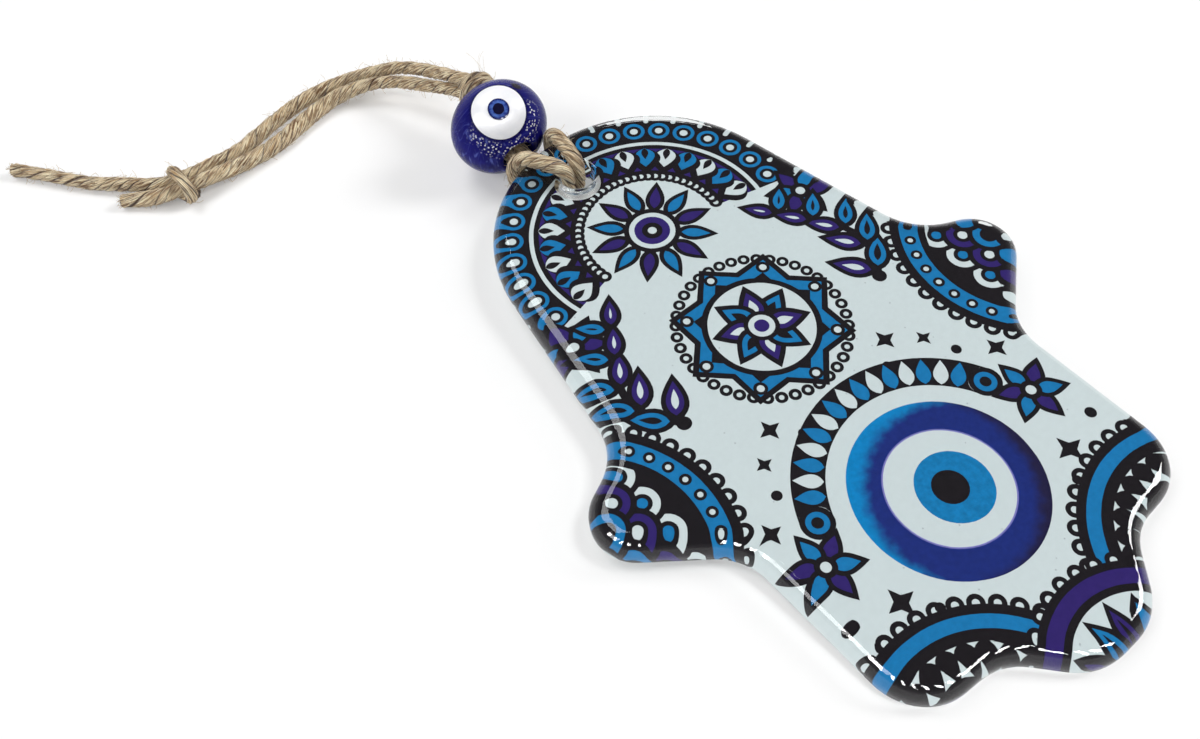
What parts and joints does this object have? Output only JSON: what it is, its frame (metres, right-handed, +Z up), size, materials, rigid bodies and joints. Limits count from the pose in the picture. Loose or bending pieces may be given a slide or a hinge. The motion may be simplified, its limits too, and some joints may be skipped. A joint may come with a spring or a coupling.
{
  "type": "hamsa hand ornament",
  "caption": "Flat clear glass hand with a printed film behind it, hung by a hitch of knotted jute cord that carries a glass eye bead.",
  "frame": {"origin": "on the table under the middle of the glass hand as it lies with its print up", "axes": "+X towards the right thumb, +Y from the fingertips to the wrist and the cord, +Z up out of the printed front"},
  "size_m": [0.1609, 0.2584, 0.0237],
  "materials": {
    "clear_glass": "fire-polished, glossy",
    "printed_film": "printed pattern under glass, plain pale back",
    "cobalt_glass": "glossy wound glass with faint streaks",
    "white_glass": "glossy, opaque",
    "blue_glass": "glossy, opaque",
    "dark_glass": "glossy, opaque",
    "jute": "twisted natural fibre with loose hairs"
  },
  "bodies": {
    "hand": {"glass_hand": "clear_glass", "print_film": "printed_film"},
    "cord": {"cord_hitch": "jute", "stop_knot": "jute", "strand_outer": "jute", "strand_inner": "jute", "end_knot": "jute", "tail_long": "jute", "tail_short": "jute"},
    "bead": {"bead_body": "cobalt_glass", "bead_white": "white_glass", "bead_iris": "blue_glass", "bead_pupil": "dark_glass"}
  },
  "joints": [
    {"name": "hand_swing", "type": "hinge", "parent": "hand", "child": "cord", "pos_m": [-0.0035, 0.0666, 0.0065], "axis": [0, 0, 1], "range_deg": [-6, 9]},
    {"name": "bead_spin", "type": "hinge", "parent": "cord", "child": "bead", "pos_m": [-0.00714, 0.09178, 0.01179], "axis": [0.1177, 0.9587, 0.2588], "continuous": true}
  ]
}
